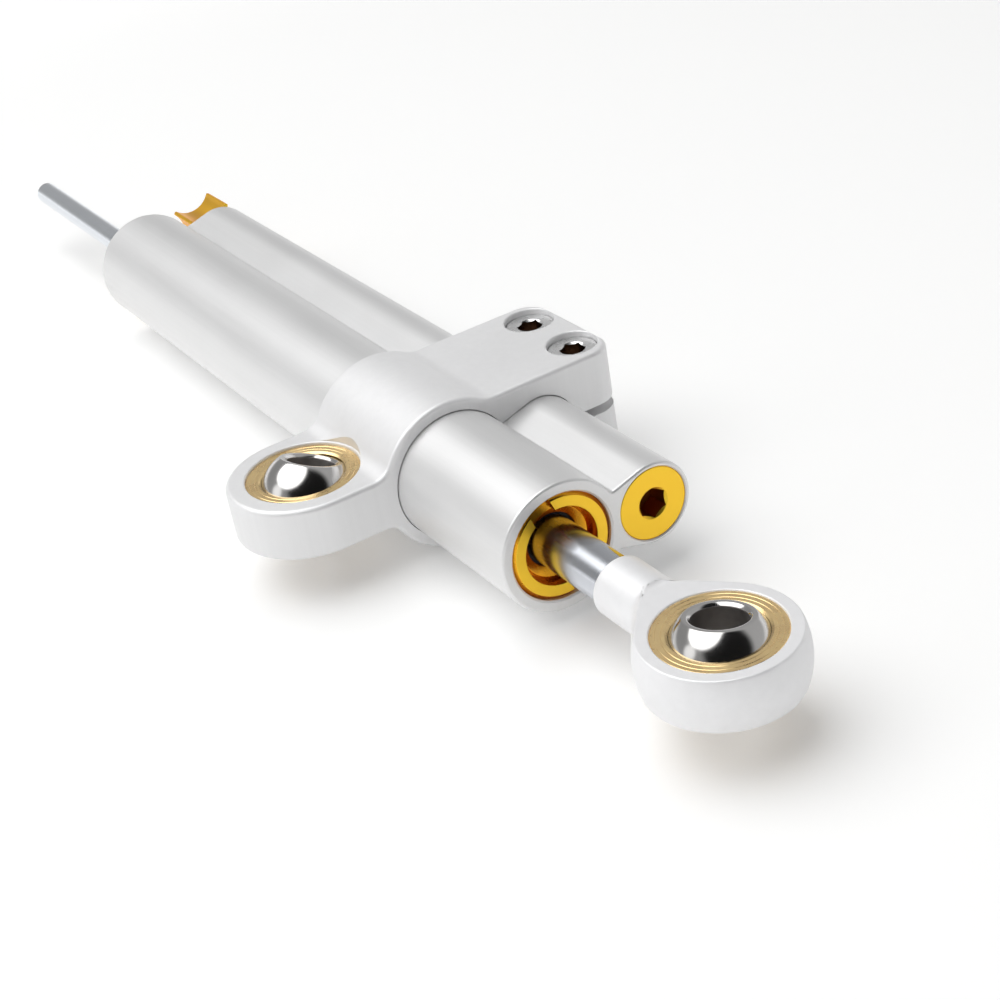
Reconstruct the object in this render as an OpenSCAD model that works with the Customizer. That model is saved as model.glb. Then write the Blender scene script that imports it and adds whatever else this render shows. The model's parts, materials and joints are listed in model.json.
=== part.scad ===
// Motorcycle steering damper: a through-rod hydraulic damper in a twin-barrel body,
// held by a split clamp with a spherical bearing and joined to the fork by a rod end.
// Millimetres. The origin is the centre of the clamp's spherical bearing, +X runs
// along the rod towards the rod end, +Y from the bearing towards the barrels, +Z up.

/* [Barrels] */
// Outside diameter of the main barrel
barrel_od = 22; // [20:0.5:26]
// Length of the twin-barrel body
barrel_len = 160.5; // [140:0.5:200]
// Diameter of the oil bore in the main barrel
oil_bore = 16; // [14.5:0.1:16.6]
// Diameter of the seat for the gland and its nut
gland_seat = 18; // [17.4:0.1:18.8]
// Depth of the seat for the gland and its nut
gland_seat_depth = 8; // [7:0.5:12]
// Distance between the axes of the two barrels
side_offset = 17; // [16.5:0.1:17.8]
// Outside diameter of the side barrel
side_od = 14; // [13.6:0.1:15]
// Diameter of the side barrel's bore
side_bore = 10; // [9:0.1:10.6]
// Diameter of the reservoir at the front of the side barrel
reservoir_bore = 12; // [11:0.1:12.2]
// Depth of the reservoir, counted from the barrel's end
reservoir_depth = 36; // [34:0.5:50]
// Angle on the main barrel where the web between the barrels starts
web_angle = 28; // [20:1:32]
// How far the barrels stand out in front of the clamp
barrel_overhang = 31.6; // [20:0.1:60]

/* [Clamp] */
// Width of the clamp along the barrels
clamp_w = 25.8; // [24:0.1:34]
// Distance from the spherical bearing to the main barrel's axis
lug_offset = 21.3; // [21.1:0.1:24]
// Wall of the clamp ring round the main barrel
ring_wall = 2.1; // [1.8:0.1:3]
// Thickness of the bearing lug
lug_t = 9.2; // [8.8:0.1:12]
// Height of the split ear block, both jaws together
ear_h = 21.2; // [20.4:0.1:24]
// Wall between the screws' counterbores and the ear's outer end
end_wall = 0.5; // [0.4:0.1:5]
// Radius of the ear's upright corners
ear_corner = 4.6; // [1:0.1:5]
// Gap of the slit between the two jaws
slit_gap = 1.6; // [1:0.1:2.5]
// Fillet between ring and lug, on top
lug_fillet = 4; // [2:0.5:6]
// Fillet between ring and ear
ear_fillet = 5; // [2:0.5:6]
// Width of the shoulder under the race in the lug
race_lip = 0.4; // [0.2:0.1:0.8]

/* [Clamp screws] */
// Distance between the two clamp screws
screw_pitch = 13.4; // [12:0.1:15]
// Wall between the side barrel and the screws' holes
screw_wall = 2.2; // [1:0.1:6]
// Thread diameter of the clamp screws
screw_d = 5; // [4:0.5:5]
// Diameter of the screw heads
screw_head_d = 8.5; // [7:0.1:8.6]
// Height of the screw heads
screw_head_h = 5; // [3:0.1:6]
// Depth of the screw heads below the ear's top
screw_sink = 1; // [0.5:0.1:2]
// Hexagon socket across flats
screw_hex = 4; // [3:0.5:4]
// Gap between screw head and counterbore
screw_head_gap = 0.15; // [0.05:0.05:0.3]

/* [Spherical bearings] */
// Bolt hole through each ball
ball_bore = 8; // [6:0.5:8]
// Diameter of each ball
ball_d = 15.9; // [15.6:0.1:16.2]
// Width of each ball between its flat faces
ball_w = 12; // [11.4:0.1:12.2]
// Chamfer at both ends of the bolt hole
ball_chamfer = 0.5; // [0.2:0.1:0.8]
// Outside diameter of each race
race_od = 19.2; // [18.2:0.1:19.4]
// Width of each race
race_w = 8.2; // [7.4:0.1:8.3]
// Chamfer inside each race
race_chamfer = 0.45; // [0.3:0.05:1]
// Gap between ball and race
ball_gap = 0.05; // [0.02:0.01:0.08]
// Lean of the clamp's ball as it lies
clamp_ball_lean = 23.5; // [0:0.5:28]
// Direction of that lean, counted from +X
clamp_ball_heading = 107; // [0:1:360]
// Lean of the rod end's ball as it lies
rod_ball_lean = 10; // [0:0.5:20]
// Direction of that lean, counted from +X
rod_ball_heading = 131; // [0:1:360]

/* [Rod end] */
// Sphere that the rod end's eye is turned from
eye_d = 24.8; // [24:0.1:28]
// Thickness of the eye between its milled flats
eye_t = 8.6; // [8.4:0.1:9.4]
// Radius to which the flats are milled round the ball's axis
flat_r = 15.4; // [13.5:0.1:18]
// Diameter of the neck
neck_d = 9.7; // [9.6:0.1:11]
// Distance from the ball's centre to the neck's rear face
neck_len = 24.1; // [20:0.1:34]
// Distance from the ball's centre to the start of the neck's taper
taper_start = 14.4; // [13.8:0.1:16]

/* [Rods] */
// Diameter of the front rod
rod_d = 8; // [7.4:0.1:8.2]
// Diameter of the tail rod
tail_d = 5; // [4:0.1:5.4]
// Length of bare rod between the barrel and the rod end as it lies
rod_show = 14.7; // [14:0.1:18]
// Length of tail rod behind the barrels as it lies
tail_show = 64.5; // [62:0.5:80]
// Thread diameter at both ends of the front rod
stud_d = 6; // [4:0.5:6]
// Length of the stud that enters the rod end
stud_len = 11; // [6:0.5:12]
// Distance from the front gland to the piston as it lies
piston_gap = 54; // [52:0.5:60]
// Length of the piston
piston_len = 12; // [8:0.5:14]
// Gap between piston and oil bore
piston_clear = 0.08; // [0.04:0.01:0.1]
// Gap between piston ring and oil bore
ring_clear = 0.03; // [0.01:0.01:0.05]
// Width of the piston ring
piston_ring_w = 3; // [2:0.1:4]
// Collar at the front of the tail rod that screws onto the piston's stud
collar_d = 10; // [8:0.5:12]
// Length of that collar
collar_len = 8; // [6:0.5:12]

/* [Glands] */
// Depth of the slotted nut below the barrel's end
nut_sink = 0.3; // [0:0.1:0.8]
// Thickness of the slotted nut
nut_t = 3.5; // [2.8:0.1:4]
// Hole in the slotted nut
nut_hole = 13; // [12.4:0.1:13.4]
// Width of the nut's tool slots
nut_slot = 4; // [3:0.1:5]
// Depth of the nut's tool slots
nut_slot_depth = 1.2; // [1:0.1:2.2]
// Chamfer on the nut's outer edge
nut_edge = 0.7; // [0.3:0.1:1]
// Turn of the nuts' slots as they lie
nut_turn = 20; // [0:5:175]
// Length of the front gland, counted from the barrel's end
front_gland_len = 32; // [28:0.5:36]
// Length of the rear gland, counted from the barrel's end
rear_gland_len = 21; // [20:0.5:24]
// Outside diameter of the collar that stands inside the nut
lip_od = 12; // [11.4:0.1:12.2]
// Depth of that collar below the barrel's end
lip_sink = 2.2; // [1:0.1:2.5]
// Depth of the funnel inside that collar
lip_funnel = 0.9; // [0.4:0.1:1.5]
// Gap between the rod and that collar
lip_gap = 0.5; // [0.4:0.1:1]
// Running gap between a rod and what guides it
rod_clear = 0.03; // [0.01:0.01:0.06]
// Length of each guide bush
bush_len = 6; // [3:0.5:6]
// Wall of each guide bush
bush_wall = 1.2; // [0.8:0.1:1.5]
// Wall of each wiper and rod seal
seal_wall = 2; // [1.5:0.1:2.2]
// Cord diameter of the O-rings
o_ring = 1.5; // [1:0.1:1.6]

/* [Side barrel] */
// Diameter of the plug's head
plug_d = 12.4; // [11.6:0.1:12.8]
// Thickness of the plug's head
plug_t = 2.4; // [1.5:0.1:3]
// Depth of the plug below the barrel's end
plug_sink = 0.15; // [0:0.05:0.5]
// Length of the plug's threaded shank
plug_shank = 5; // [4:0.5:7]
// Hexagon socket in the plug across flats
plug_hex = 4.6; // [4:0.1:5]
// Depth of that socket
plug_hex_depth = 4; // [2:0.5:5]
// Distance from the barrel's end to the floating piston as it lies
float_at = 13.5; // [12:0.5:15]
// Length of the floating piston
float_len = 5; // [3:0.5:5]
// Gap between floating piston and its bore
float_clear = 0.05; // [0.02:0.01:0.1]

/* [Adjuster] */
// Length of the adjuster cartridge inside the side barrel
cartridge_len = 28; // [26:0.5:34]
// Diameter of the cartridge's flange
flange_d = 11.4; // [11:0.1:12]
// Thickness of the cartridge's flange
flange_t = 2; // [1.5:0.1:3]
// Diameter over the knob's lobes
knob_d = 15; // [14:0.1:17]
// Length of the knob
knob_len = 10; // [7:0.5:14]
// Number of lobes on the knob
knob_lobes = 5; // [5:1:8]
// Radius of the scallops between the lobes
scallop_r = 5; // [3:0.1:5]
// Depth of the scallops
scallop_depth = 3.25; // [1.5:0.05:3.5]
// Gap between knob and barrel
knob_gap = 0.3; // [0.2:0.1:0.6]
// Diameter of the knob's hub inside the cartridge
hub_d = 6; // [5:0.1:6.4]
// Length of that hub
hub_len = 6; // [5:0.5:8]
// Diameter of the needle
needle_d = 4; // [3:0.1:4.4]
// Thread diameter of the needle's tail
needle_tail_d = 3; // [2:0.1:3.2]
// Running gap round hub, needle and thread
adjust_clear = 0.05; // [0.02:0.01:0.08]
// Number of clicks in one turn of the knob
clicks = 12; // [6:1:18]
// Diameter of the detent ball
detent_d = 1.2; // [1:0.1:1.3]
// Turn of the knob's scallops as it lies
knob_turn = -11; // [-36:1:36]

/* [Hidden] */
$fn = 72;
// How far a cut runs past a face, or one outline into the next
past = 1;
bite = 0.02;

// Places along the rod, counted from the spherical bearing
front_x = clamp_w/2 + barrel_overhang;
rear_x = front_x - barrel_len;
neck_x = front_x + rod_show;
eye_x = neck_x + neck_len;
tail_x = rear_x - tail_show;
piston_x = front_x - front_gland_len - piston_gap;

// Gap between the clamp and the barrels that slide in it
clamp_gap = 0.03;
ring_od = barrel_od + 2*(clamp_gap + ring_wall);
edge = 0.4;

// Places of the clamp screws, counted from the side barrel outwards
screw_gap = 0.2;
screw_end_sink = 2;
screw_y = lug_offset + side_offset + side_od/2 + screw_wall + screw_gap + screw_d/2;
screw_seat = ear_h/2 - screw_sink - screw_head_h;
screw_tip = screw_end_sink - ear_h/2;
ear_y = screw_y + screw_head_d/2 + screw_head_gap + end_wall;

module at_main(x) translate([x, lug_offset, 0]) children();
module at_side(x) translate([x, lug_offset + side_offset, 0]) children();
// Turns a solid built up +Z so that it runs along +X
module along_x() rotate([0, 90, 0]) children();
// Turns a solid built up +Z so that it runs along -X
module along_back() rotate([0, -90, 0]) children();
// Extrudes an outline drawn in Y and Z along +X
module section(length) rotate([90, 0, 90]) linear_extrude(length) children();
// Leans a ball from +Z towards a heading
module lean(angle, heading) rotate([0, 0, heading]) rotate([0, angle, 0]) rotate([0, 0, -heading]) children();

// Cylinder with a chamfer at both ends
module pin(d, length, c = edge) {
    rotate_extrude()
        polygon([[0, 0], [d/2 - c, 0], [d/2, c], [d/2, length - c], [d/2 - c, length], [0, length]]);
}

module ring_profile(inner, outer, low, high) {
    translate([inner, low]) square([outer - inner, high - low]);
}

module o_ring_at(inner_r) {
    rotate_extrude() translate([inner_r + o_ring/2, 0]) circle(d = o_ring, $fn = 24);
}

// Outline of the twin-barrel extrusion, grown by a gap
module barrels_outline(gap = 0) {
    main_r = barrel_od/2 + gap;
    side_r = side_od/2 + gap;
    root = (main_r - bite)*[cos(web_angle), sin(web_angle)];
    run = [root[0] - side_offset, root[1]];
    touch = atan2(run[1], run[0]) - acos(side_r/norm(run));
    tip = [side_offset, 0] + (side_r - bite)*[cos(touch), sin(touch)];
    circle(r = main_r);
    translate([side_offset, 0]) circle(r = side_r);
    polygon([[0, 0], [root[0], -root[1]], [tip[0], -tip[1]], [side_offset, 0], tip, root]);
}

// Fillet between the clamp ring and a level face at height h, on side -1 or 1
module ring_fillet(h, f, side) {
    run = sqrt(pow(ring_od/2 + f, 2) - pow(abs(h) + f, 2));
    centre = [side*run, sign(h)*(abs(h) + f)];
    foot = [side*run, h];
    difference() {
        polygon(side*h > 0 ? [foot, centre, [0, 0]] : [centre, foot, [0, 0]]);
        translate(centre) circle(r = f + bite);
    }
}

module clamp_outline() {
    circle(d = ring_od);
    translate([-lug_offset - clamp_w/2, -lug_t/2]) square([lug_offset + clamp_w/2, lug_t]);
    translate([0, -ear_h/2]) square([ear_y - lug_offset, ear_h]);
    ring_fillet(lug_t/2, lug_fillet, -1);
    ring_fillet(-lug_t/2, lug_fillet - 1, -1);
    ring_fillet(ear_h/2, ear_fillet, 1);
    ring_fillet(-ear_h/2, ear_fillet, 1);
}

// Plan of the clamp: a round lug at the bearing, rounded corners at the ear
module clamp_plan() {
    circle(d = clamp_w);
    translate([-clamp_w/2, 0]) square([clamp_w, ear_y - ear_corner]);
    for (side = [-1, 1])
        translate([side*(clamp_w/2 - ear_corner), ear_y - ear_corner]) circle(r = ear_corner);
    translate([-clamp_w/2 + ear_corner, 0]) square([clamp_w - 2*ear_corner, ear_y]);
}

module clamp() {
    color([0.86, 0.87, 0.88])
    difference() {
        intersection() {
            translate([-clamp_w/2, lug_offset, 0]) section(clamp_w) clamp_outline();
            translate([0, 0, -ring_od]) linear_extrude(2*ring_od) clamp_plan();
        }
        translate([-clamp_w, lug_offset, 0]) section(2*clamp_w) barrels_outline(clamp_gap);
        translate([-clamp_w, lug_offset + side_offset, -slit_gap/2])
            cube([2*clamp_w, ear_y, slit_gap]);
        translate([0, 0, -race_w/2]) cylinder(d = race_od, h = ring_od);
        translate([0, 0, -lug_t]) cylinder(d = race_od - 2*race_lip, h = lug_t);
        for (side = [-1, 1]) translate([side*screw_pitch/2, screw_y, 0]) {
            translate([0, 0, screw_seat]) cylinder(d = screw_head_d + 2*screw_head_gap, h = ear_h);
            cylinder(d = screw_d + 2*screw_gap, h = ear_h);
            translate([0, 0, screw_tip - past]) cylinder(d = screw_d, h = ear_h/2);
        }
    }
}

module socket_screw() {
    difference() {
        union() {
            translate([0, 0, screw_seat]) pin(screw_head_d, screw_head_h);
            translate([0, 0, screw_tip]) pin(screw_d, screw_seat - screw_tip + past);
        }
        translate([0, 0, screw_seat + screw_head_h/2])
            cylinder(d = screw_hex/cos(30), h = screw_head_h, $fn = 6);
    }
}

module clamp_screws() {
    color([0.75, 0.75, 0.77])
    for (side = [-1, 1]) translate([side*screw_pitch/2, screw_y, 0]) socket_screw();
}

module race() {
    half = race_w/2;
    mouth = sqrt(pow(ball_d/2 + ball_gap, 2) - half*half);
    color([0.78, 0.62, 0.32])
    rotate_extrude()
    difference() {
        ring_profile(mouth - past, race_od/2, -half, half);
        circle(r = ball_d/2 + ball_gap, $fn = 96);
        for (side = [0, 1]) mirror([0, side])
            polygon([[0, half - race_chamfer], [mouth, half - race_chamfer],
                     [mouth + race_chamfer, half], [mouth + race_chamfer, half + past], [0, half + past]]);
    }
}

module ball() {
    half = ball_w/2;
    color([0.7, 0.7, 0.72])
    rotate_extrude() difference() {
        intersection() {
            circle(d = ball_d, $fn = 96);
            ring_profile(ball_bore/2, ball_d, -half, half);
        }
        for (side = [-1, 1]) translate([ball_bore/2, side*half])
            rotate(45) square(sqrt(2)*ball_chamfer, center = true);
    }
}

module clamp_race() race();
module clamp_ball() lean(clamp_ball_lean, clamp_ball_heading) ball();

// Ports that join the oil bore to the side barrel, one past each gland
port_d = 2;
valve_at = rear_gland_len + 0.75*port_d;
ports = [front_gland_len + port_d, barrel_len - valve_at];
side_step = plug_sink + plug_t;

module twin_barrel() {
    color([0.84, 0.84, 0.83])
    difference() {
        at_main(rear_x) section(barrel_len) barrels_outline();
        at_main(rear_x - past) along_x() cylinder(d = oil_bore, h = barrel_len + 2*past);
        at_main(front_x - gland_seat_depth) along_x() cylinder(d = gland_seat, h = barrel_len);
        at_main(rear_x + gland_seat_depth) along_back() cylinder(d = gland_seat, h = barrel_len);
        at_side(rear_x - past) along_x() cylinder(d = side_bore, h = barrel_len + 2*past);
        at_side(front_x - reservoir_depth) along_x() cylinder(d = reservoir_bore, h = barrel_len);
        at_side(front_x - side_step) along_x() cylinder(d = plug_d, h = barrel_len);
        at_side(rear_x + flange_t) along_back() cylinder(d = flange_d, h = barrel_len);
        for (depth = ports) at_main(front_x - depth) rotate([-90, 0, 0])
            cylinder(d = port_d, h = side_offset);
    }
}

// Slotted ring nut, its face up +Z at z = 0
module slotted_nut() {
    color([0.93, 0.68, 0.1])
    difference() {
        translate([0, 0, -nut_t]) rotate_extrude() difference() {
            ring_profile(nut_hole/2, gland_seat/2, 0, nut_t);
            translate([nut_hole/2, nut_t]) rotate(45) square(edge, center = true);
            translate([gland_seat/2, nut_t]) rotate(45) square(sqrt(2)*nut_edge, center = true);
        }
        translate([-gland_seat, -nut_slot/2, -nut_slot_depth]) cube([2*gland_seat, nut_slot, nut_t]);
    }
}

module front_nut() at_main(front_x - nut_sink) along_x() rotate([0, 0, nut_turn]) slotted_nut();
module rear_nut() at_main(rear_x + nut_sink) along_back() rotate([0, 0, nut_turn]) slotted_nut();

// Depths inside a gland, counted from the barrel's end
wiper_at = [4.2, 7.2];
seal_at = [10, 13];
gland_o_ring_at = 16;
land_gap = 0.3;
lip_round = 0.2;
// Half the width of an O-ring's groove
groove = o_ring*0.65;

// Seal carrier for a rod, its outer end up +Z and the barrel's end at z = 0
module gland(shaft_d, gland_len) {
    lip_r = shaft_d/2 + lip_gap;
    seal_r = shaft_d/2 + seal_wall;
    bush_r = shaft_d/2 + rod_clear + bush_wall;
    color([0.93, 0.68, 0.1])
    rotate_extrude() difference() {
        union() {
            ring_profile(0, oil_bore/2, -gland_len, -gland_seat_depth);
            ring_profile(0, gland_seat/2, -gland_seat_depth, -nut_sink - nut_t);
            ring_profile(0, lip_od/2, -nut_sink - nut_t - past, -lip_sink - lip_round);
            ring_profile(0, lip_od/2 - lip_round, -lip_sink - 2*lip_round, -lip_sink);
            translate([lip_od/2 - lip_round, -lip_sink - lip_round]) circle(r = lip_round, $fn = 32);
        }
        ring_profile(-past, lip_r, -wiper_at[0], past);
        polygon([[0, -lip_sink - lip_funnel], [lip_r, -lip_sink - lip_funnel],
                 [lip_od/2 - lip_round, -lip_sink], [lip_od/2 - lip_round, past], [0, past]]);
        ring_profile(-past, shaft_d/2 + land_gap, -gland_len - past, 0);
        ring_profile(-past, seal_r, -wiper_at[1], -wiper_at[0]);
        ring_profile(-past, seal_r, -seal_at[1], -seal_at[0]);
        ring_profile(-past, bush_r, -gland_len - past, bush_len - gland_len);
        ring_profile(oil_bore/2 - o_ring, oil_bore, -gland_o_ring_at - groove, -gland_o_ring_at + groove);
    }
}

// Lipped ring between a shaft and its groove
module lip_seal(shaft_d, low, high) {
    inner = shaft_d/2 + rod_clear;
    outer = shaft_d/2 + seal_wall;
    lip = (outer - inner)*0.3;
    color([0.12, 0.12, 0.13])
    rotate_extrude() difference() {
        ring_profile(inner, outer, low, high);
        polygon([[inner + lip, high + bite], [outer - lip, high + bite],
                 [(inner + outer)/2, high - 1.5*lip]]);
    }
}

module bush(shaft_d, gland_len) {
    inner = shaft_d/2 + rod_clear;
    color([0.62, 0.48, 0.3])
    rotate_extrude() ring_profile(inner, inner + bush_wall, -gland_len, bush_len - gland_len);
}

module gland_o_ring() {
    color([0.1, 0.1, 0.11]) translate([0, 0, -gland_o_ring_at]) o_ring_at(oil_bore/2 - o_ring);
}

module at_front() at_main(front_x) along_x() children();
module at_rear() at_main(rear_x) along_back() children();

module front_gland() at_front() gland(rod_d, front_gland_len);
module front_wiper() at_front() lip_seal(rod_d, -wiper_at[1], -wiper_at[0]);
module front_rod_seal() at_front() lip_seal(rod_d, -seal_at[1], -seal_at[0]);
module front_bush() at_front() bush(rod_d, front_gland_len);
module front_o_ring() at_front() gland_o_ring();
module rear_gland() at_rear() gland(tail_d, rear_gland_len);
module rear_wiper() at_rear() lip_seal(tail_d, -wiper_at[1], -wiper_at[0]);
module rear_rod_seal() at_rear() lip_seal(tail_d, -seal_at[1], -seal_at[0]);
module rear_bush() at_rear() bush(tail_d, rear_gland_len);
module rear_o_ring() at_rear() gland_o_ring();

collar_socket = collar_len - 1;
rod_edge = 0.2;

module piston_rod() {
    color([0.72, 0.73, 0.76])
    at_main(0) along_x() {
        translate([0, 0, piston_x]) pin(rod_d, neck_x - piston_x, rod_edge);
        translate([0, 0, neck_x - past]) pin(stud_d, stud_len + past);
        translate([0, 0, piston_x - piston_len - collar_socket])
            pin(stud_d, piston_len + collar_socket + past);
    }
}

piston_groove = 1.2;
bleed_d = 1.2;

module piston() {
    bleed_r = (stud_d/2 + oil_bore/2 - piston_groove)/2;
    color([0.7, 0.71, 0.73])
    at_main(piston_x - piston_len) along_x() difference() {
        pin(oil_bore - 2*piston_clear, piston_len);
        translate([0, 0, -past]) cylinder(d = stud_d, h = piston_len + 2*past);
        translate([0, 0, piston_len/2 - piston_ring_w/2]) rotate_extrude()
            ring_profile(oil_bore/2 - piston_groove, oil_bore, 0, piston_ring_w);
        for (turn = [45:90:315]) rotate([0, 0, turn]) translate([bleed_r, 0, -past])
            cylinder(d = bleed_d, h = piston_len + 2*past);
    }
}

module piston_ring() {
    color([0.3, 0.32, 0.3])
    at_main(piston_x - piston_len/2) along_x() translate([0, 0, -piston_ring_w/2])
        rotate_extrude() ring_profile(oil_bore/2 - piston_groove, oil_bore/2 - ring_clear, 0, piston_ring_w);
}

// Spanner flats on the tail rod's collar
collar_flats = 0.8*collar_d;
tail_edge = 0.8;

module tail_rod() {
    collar_x = piston_x - piston_len - collar_len;
    color([0.66, 0.67, 0.7])
    at_main(0) along_x() difference() {
        union() {
            translate([0, 0, tail_x]) pin(tail_d, collar_x - tail_x + past, tail_edge);
            translate([0, 0, collar_x]) pin(collar_d, collar_len);
        }
        translate([0, 0, collar_x + collar_len - collar_socket]) cylinder(d = stud_d, h = collar_len);
        for (side = [-1, 1]) translate([0, side*(collar_flats/2 + collar_d/2), collar_x])
            cube([2*collar_d, collar_d, collar_len], center = true);
    }
}

// Lathe profile of the rod end: a neck, a taper that touches the sphere, and the sphere
module rod_end_turning() {
    eye_r = eye_d/2;
    neck_r = neck_d/2;
    reach = norm([taper_start, neck_r]);
    touch = 180 - atan2(neck_r, taper_start) - acos(eye_r/reach);
    rotate_extrude() {
        intersection() {
            circle(r = eye_r, $fn = 96);
            translate([0, -eye_r]) square(2*eye_r);
        }
        polygon([[0, 0], [0, -neck_len], [neck_r - edge, -neck_len], [neck_r, edge - neck_len],
                 [neck_r, -taper_start], (eye_r - bite)*[sin(touch), cos(touch)]]);
    }
}

module rod_end() {
    color([0.88, 0.88, 0.89])
    at_main(0) difference() {
        translate([eye_x, 0, 0]) along_x() rod_end_turning();
        for (side = [-1, 1]) translate([eye_x, 0, side*(eye_t/2 + eye_d/2)])
            cylinder(r = flat_r, h = eye_d, center = true);
        translate([eye_x, 0, 0]) cylinder(d = race_od, h = eye_d, center = true);
        translate([neck_x - past, 0, 0]) along_x() cylinder(d = stud_d, h = stud_len + 2*past);
    }
}

module rod_end_race() at_main(eye_x) race();
module rod_end_ball() at_main(eye_x) lean(rod_ball_lean, rod_ball_heading) ball();

plug_groove = side_step + plug_shank/2;
plug_edge = 0.3;

module front_plug() {
    color([0.95, 0.7, 0.1])
    at_side(front_x) along_x() difference() {
        rotate_extrude() difference() {
            union() {
                ring_profile(0, plug_d/2, -side_step, -plug_sink);
                ring_profile(0, reservoir_bore/2, -side_step - plug_shank, -side_step);
            }
            ring_profile(reservoir_bore/2 - o_ring, reservoir_bore,
                -plug_groove - groove, -plug_groove + groove);
            translate([plug_d/2, -plug_sink]) rotate(45) square(plug_edge, center = true);
        }
        translate([0, 0, -plug_sink - plug_hex_depth])
            cylinder(d = plug_hex/cos(30), h = plug_hex_depth + past, $fn = 6);
        translate([0, 0, -plug_sink - plug_edge])
            cylinder(d1 = plug_hex, d2 = plug_hex/cos(30) + 2*plug_edge, h = 2*plug_edge);
    }
}

module plug_o_ring() {
    color([0.1, 0.1, 0.11])
    at_side(front_x - plug_groove) along_x() o_ring_at(reservoir_bore/2 - o_ring);
}

module float_piston() {
    color([0.75, 0.76, 0.78])
    at_side(front_x - float_at - float_len) along_x() difference() {
        pin(reservoir_bore - 2*float_clear, float_len);
        translate([0, 0, 0.6*float_len]) cylinder(d = reservoir_bore/2, h = float_len);
        rotate_extrude() ring_profile(reservoir_bore/2 - o_ring, reservoir_bore,
            float_len/2 - groove, float_len/2 + groove);
    }
}

// The floating piston's ring is drawn at its working size, just clear of the bore
module float_o_ring() {
    color([0.1, 0.1, 0.11])
    at_side(front_x - float_at - float_len/2) along_x() rotate_extrude()
        translate([reservoir_bore/2 - float_clear - (o_ring - float_clear)/2, 0])
            circle(d = o_ring - float_clear, $fn = 24);
}

// Depths inside the adjuster, counted from the barrel's rear end
clip_t = 0.8;
clip_at = hub_len - 2*clip_t;
clip_bite = 0.5;
clip_stand = 0.7;
hub_room = hub_len + 1.5;
flats_at = [hub_room + 0.5, hub_room + 5];
flats_w = 0.8*needle_d;
flats_play = 1;
seat_at = cartridge_len - 4;
seat_d = 2.4;
needle_point = 1;
needle_taper = 2.5;
needle_tip_at = seat_at + 0.5;
needle_tail_to = 0.55*knob_len;
valve_r = 0.8;
adjust_o_rings = [flats_at[1] + 2.5, cartridge_len - 2];

// Places of the detent, its track in the knob and the coil under the ball
detent_r = (side_bore/2 + hub_d/2 + adjust_clear)/2;
detent_depth = 3.6;
detent_gap = 0.05;
track_depth = 0.35;
dimple_depth = 0.3;
ball_proud = 0.5;
spring_wire = 0.3;
spring_turns = 5;
spring_sides = 6;
spring_steps = 12;

module adjuster_body() {
    color([0.78, 0.79, 0.8])
    at_side(rear_x) along_back() difference() {
        rotate_extrude() difference() {
            union() {
                ring_profile(0, flange_d/2, -flange_t, 0);
                ring_profile(0, side_bore/2, -cartridge_len, -flange_t);
            }
            ring_profile(-past, hub_d/2 + adjust_clear, -hub_room, past);
            ring_profile(-past, hub_d/2 + clip_stand + adjust_clear, -hub_room, clip_t/2 - clip_at);
            ring_profile(-past, needle_d/2 + adjust_clear, -seat_at, -flats_at[1]);
            ring_profile(-past, seat_d/2, -cartridge_len - past, 0);
            for (depth = adjust_o_rings)
                ring_profile(side_bore/2 - o_ring, side_bore, -depth - groove, -depth + groove);
            ring_profile(side_bore/2 - valve_r, side_bore, -valve_at - port_d/2, -valve_at + port_d/2);
        }
        translate([0, 0, -valve_at]) rotate([0, 90, 0]) cylinder(r = valve_r, h = side_bore);
        translate([0, 0, -flats_at[1] - past]) intersection() {
            cylinder(r = needle_d/2 + adjust_clear, h = flats_at[1] - hub_room + 2*past);
            translate([-needle_d, -flats_w/2 - adjust_clear, 0])
                cube([2*needle_d, flats_w + 2*adjust_clear, flats_at[1]]);
        }
        translate([detent_r, 0, -detent_depth])
            cylinder(d = detent_d + 2*detent_gap, h = detent_depth + past);
    }
}

module adjuster_o_rings() {
    color([0.1, 0.1, 0.11])
    for (depth = adjust_o_rings) at_side(rear_x + depth) along_x() o_ring_at(side_bore/2 - o_ring);
}

// Needle with a taper at the seat, flats that keep it from turning and a threaded tail
module needle() {
    shoulder = needle_tip_at - needle_taper;
    color([0.7, 0.71, 0.73])
    at_side(rear_x) along_back() {
        rotate_extrude() polygon([[0, -needle_tip_at], [needle_point/2, -needle_tip_at],
            [needle_d/2, -shoulder], [needle_d/2, -flats_at[1] - flats_play],
            [0, -flats_at[1] - flats_play]]);
        translate([0, 0, -flats_at[1] - flats_play - bite]) intersection() {
            cylinder(d = needle_d, h = flats_at[1] - flats_at[0] + flats_play);
            translate([-needle_d, -flats_w/2, 0]) cube([2*needle_d, flats_w, flats_at[1]]);
        }
        translate([0, 0, -flats_at[0] - flats_play])
            cylinder(d = needle_tail_d, h = flats_at[0] + flats_play + needle_tail_to);
    }
}

// Open ring that sits in the hub's groove, behind the cartridge's shoulder
module knob_clip() {
    color([0.35, 0.35, 0.37])
    at_side(rear_x) along_back() translate([0, 0, -clip_at - clip_t]) difference() {
        rotate_extrude() ring_profile(hub_d/2 - clip_bite, hub_d/2 + clip_stand, 0, clip_t);
        translate([0, -clip_t, -past]) cube([hub_d, 2*clip_t, clip_t + 2*past]);
    }
}

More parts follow.
